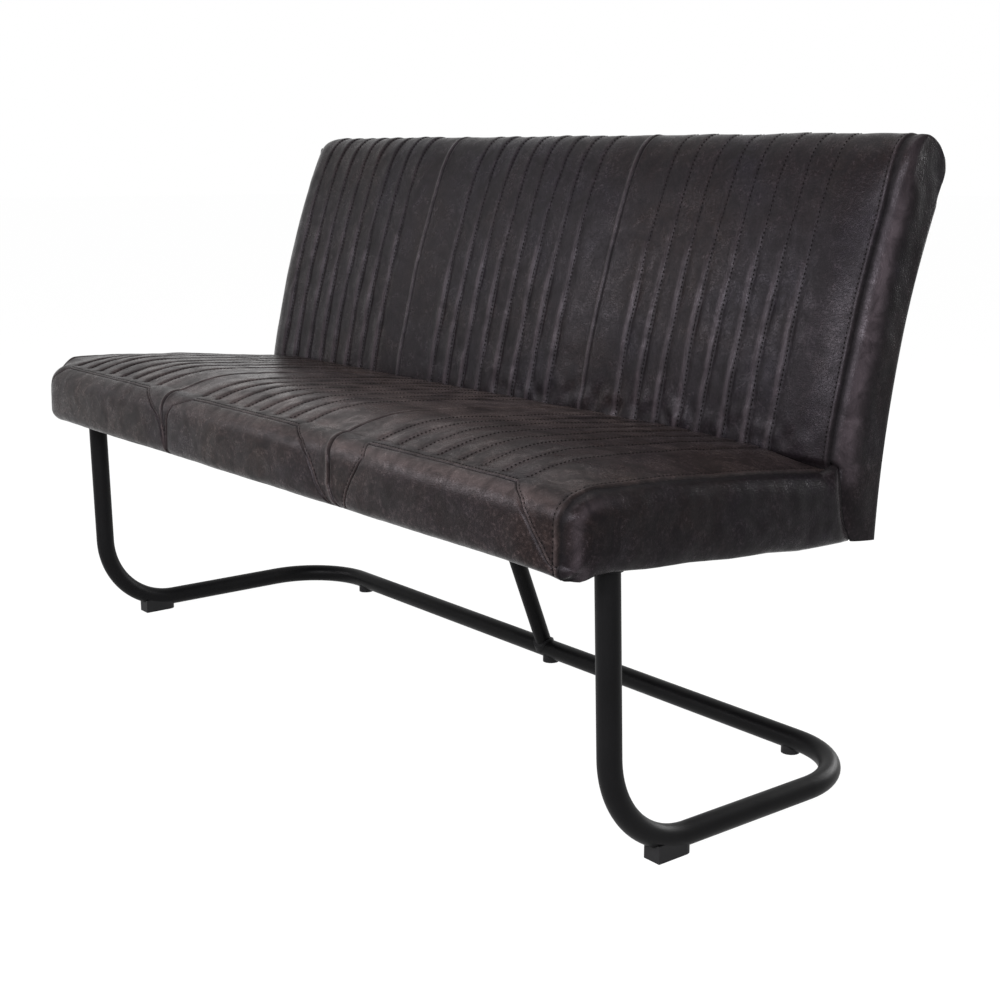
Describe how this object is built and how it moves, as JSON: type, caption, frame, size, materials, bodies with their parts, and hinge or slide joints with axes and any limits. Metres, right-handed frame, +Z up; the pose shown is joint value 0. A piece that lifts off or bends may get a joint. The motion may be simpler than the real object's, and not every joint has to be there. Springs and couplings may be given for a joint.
{
  "type": "dining bench",
  "caption": "Upholstered dining bench with a leaning back, channel-stitched dark leather seat and back sections, and a black bent-tube cantilever frame with a centre strut.",
  "frame": {"origin": "middle of the footprint, on the floor: the middle of the whole bench's box at its lowest level", "axes": "+X to the sitter's left hand side, which is the right of the bench seen from in front; -Y the way a sitter faces; +Z up"},
  "size_m": [1.49, 0.6724, 0.9017],
  "materials": {
    "leather": "vintage, softly polished, rubbed pale on the ridges",
    "frame_coating": "matt black powder coat on steel",
    "feet": "moulded, matt",
    "fasteners": "zinc plated",
    "timber": "bare plywood",
    "webbing": "woven elastic",
    "foam": "open-cell cushion foam",
    "dust_cover": "black non-woven cloth"
  },
  "bodies": {
    "root": {"side_tube_left": "frame_coating", "side_tube_right": "frame_coating", "rear_tube": "frame_coating", "centre_strut": "frame_coating", "weld_beads": "frame_coating", "leg_plate_left": "frame_coating", "leg_plate_right": "frame_coating", "strut_plate": "frame_coating", "front_foot_left": "feet", "front_foot_right": "feet", "rear_glide_left": "feet", "rear_glide_middle": "feet", "rear_glide_right": "feet", "frame_bolts": "fasteners", "frame_washers": "fasteners", "frame_tee_nuts": "fasteners", "seat_front_board": "timber", "seat_rear_board": "timber", "seat_side_board_left": "timber", "seat_side_board_right": "timber", "seat_cross_board_left": "timber", "seat_cross_board_right": "timber", "seat_front_rail": "timber", "seat_webbing": "webbing", "seat_foam": "foam", "seat_panel_left": "leather", "seat_panel_middle": "leather", "seat_panel_right": "leather", "seat_band_left": "leather", "seat_band_middle": "leather", "seat_band_right": "leather", "seat_end_left": "leather", "seat_end_right": "leather", "seat_dust_cover": "dust_cover", "back_post_left": "timber", "back_post_right": "timber", "back_middle_post_left": "timber", "back_middle_post_right": "timber", "back_top_rail": "timber", "back_bottom_rail": "timber", "back_webbing": "webbing", "back_foam": "foam", "back_panel_left": "leather", "back_panel_middle": "leather", "back_panel_right": "leather", "back_end_left": "leather", "back_end_right": "leather", "back_rear_cover": "leather", "back_bolts": "fasteners", "back_tee_nuts": "fasteners"}
  },
  "joints": []
}
